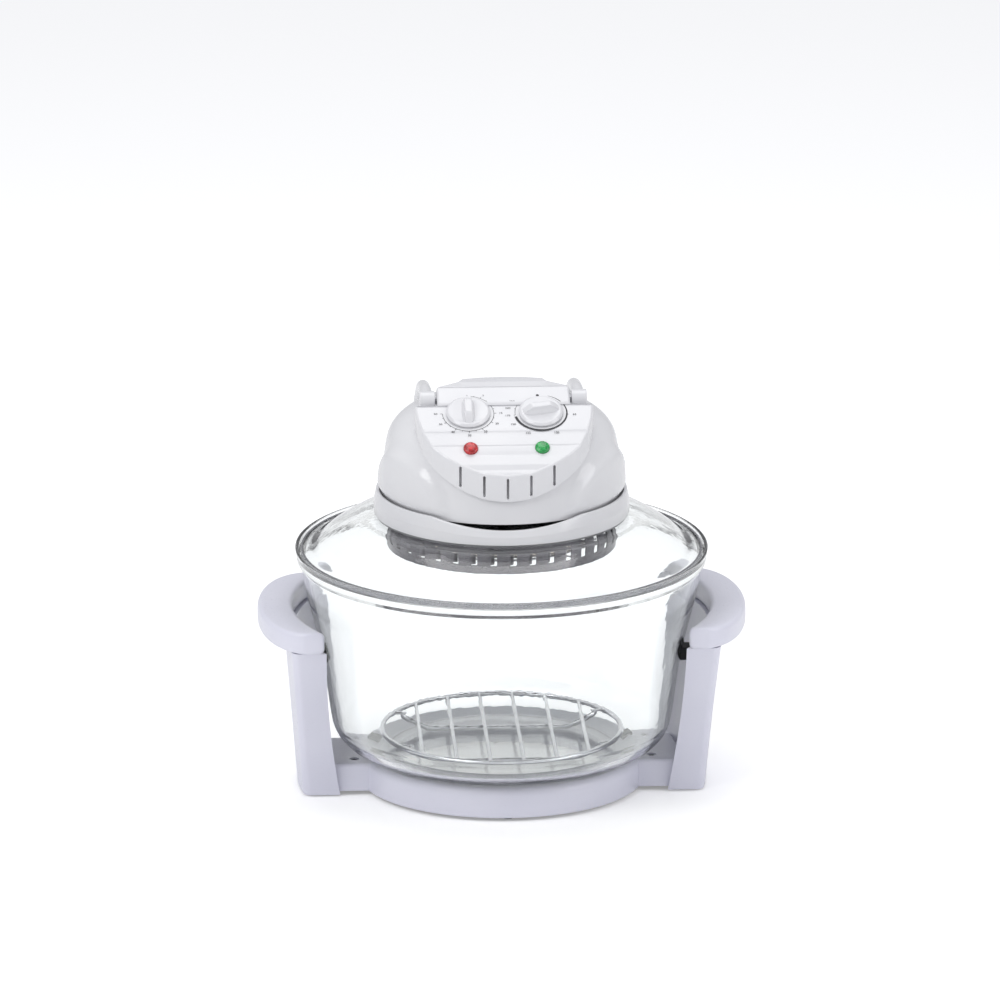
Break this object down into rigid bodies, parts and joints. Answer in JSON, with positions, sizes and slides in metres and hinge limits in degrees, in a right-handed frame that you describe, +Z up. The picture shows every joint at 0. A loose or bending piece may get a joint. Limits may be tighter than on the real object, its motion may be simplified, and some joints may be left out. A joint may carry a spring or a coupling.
{
  "type": "halogen oven",
  "caption": "Countertop halogen oven: glass bowl in a white stand with side grips, under a lift-off glass lid that carries the fan and lamp head with two dials",
  "frame": {"origin": "on the bowl's axis, on the surface that the feet stand on", "axes": "+X runs to the right grip, -Y to the front with the controls, +Z up"},
  "size_m": [0.39, 0.3296, 0.3371],
  "materials": {
    "stand_plastic": "glossy moulded white with a faint lavender cast",
    "head_plastic": "glossy moulded white",
    "clear_glass": "clear tempered glass",
    "steel": "satin",
    "dark_steel": "dark satin",
    "chrome_wire": "bright plated",
    "rubber": "matte",
    "silicone": "matte",
    "ceramic": "matte",
    "quartz": "clear tube",
    "black_plastic": "matte",
    "red_lens": "tinted lens",
    "green_lens": "tinted lens"
  },
  "bodies": {
    "stand": {"base_ring": "stand_plastic", "foot_front": "rubber", "foot_rear": "rubber", "foot_left": "rubber", "foot_right": "rubber", "ring_pad_left_front": "rubber", "ring_pad_left_rear": "rubber", "ring_pad_right_front": "rubber", "ring_pad_right_rear": "rubber", "arm_screw_left_front": "steel", "arm_screw_left_rear": "steel", "arm_screw_right_front": "steel", "arm_screw_right_rear": "steel", "left_post": "stand_plastic", "right_post": "stand_plastic", "left_grip": "stand_plastic", "right_grip": "stand_plastic", "left_bumper": "rubber", "right_bumper": "rubber"},
    "bowl": {"glass_bowl": "clear_glass"},
    "rack": {"low_rack": "chrome_wire"},
    "lid": {"glass_lid": "clear_glass", "lid_rim_band": "steel", "head_gasket": "silicone", "collar": "head_plastic", "housing_screw_1": "steel", "housing_screw_2": "steel", "housing_screw_3": "steel", "housing_screw_4": "steel", "housing": "head_plastic", "control_panel": "head_plastic", "cord_gland": "black_plastic", "timer_unit": "black_plastic", "thermostat_unit": "ceramic", "red_lens": "red_lens", "green_lens": "green_lens", "handle_pin_left": "steel", "handle_pin_right": "steel", "shroud": "dark_steel", "heat_shield": "steel", "thermostat_probe": "steel", "motor_bracket": "steel", "fan_motor": "dark_steel", "halogen_lamp": "quartz", "lamp_holder_left": "ceramic", "lamp_holder_right": "ceramic", "fan_guard": "chrome_wire", "terminal_block": "black_plastic", "thermal_cutout": "chrome_wire"},
    "fan": {"motor_shaft": "steel", "convection_fan": "steel", "cooling_fan": "black_plastic"},
    "timer_control": {"timer_knob": "head_plastic", "timer_shaft": "steel"},
    "thermostat_control": {"thermostat_knob": "head_plastic", "thermostat_shaft": "steel"},
    "handle": {"carry_handle": "head_plastic"}
  },
  "joints": [
    {"name": "bowl_lift", "type": "slide", "parent": "stand", "child": "bowl", "axis": [0, 0, 1], "range_m": [0, 0.2]},
    {"name": "rack_lift", "type": "slide", "parent": "bowl", "child": "rack", "axis": [0, 0, 1], "range_m": [0, 0.13]},
    {"name": "lid_lift", "type": "slide", "parent": "bowl", "child": "lid", "axis": [0, 0, 1], "range_m": [0, 0.174]},
    {"name": "handle_fold", "type": "hinge", "parent": "lid", "child": "handle", "pos_m": [0, -0.022, 0.3226], "axis": [1, 0, 0], "range_deg": [0, 100]},
    {"name": "timer_turn", "type": "hinge", "parent": "lid", "child": "timer_control", "pos_m": [-0.0289, -0.04602, 0.31866], "axis": [0, 0.44, -0.898], "range_deg": [0, 300]},
    {"name": "thermostat_turn", "type": "hinge", "parent": "lid", "child": "thermostat_control", "pos_m": [0.0289, -0.04602, 0.31866], "axis": [0, 0.44, -0.898], "range_deg": [0, 270]},
    {"name": "fan_spin", "type": "hinge", "parent": "lid", "child": "fan", "pos_m": [0, 0, 0.2251], "axis": [0, 0, 1], "continuous": true}
  ]
}
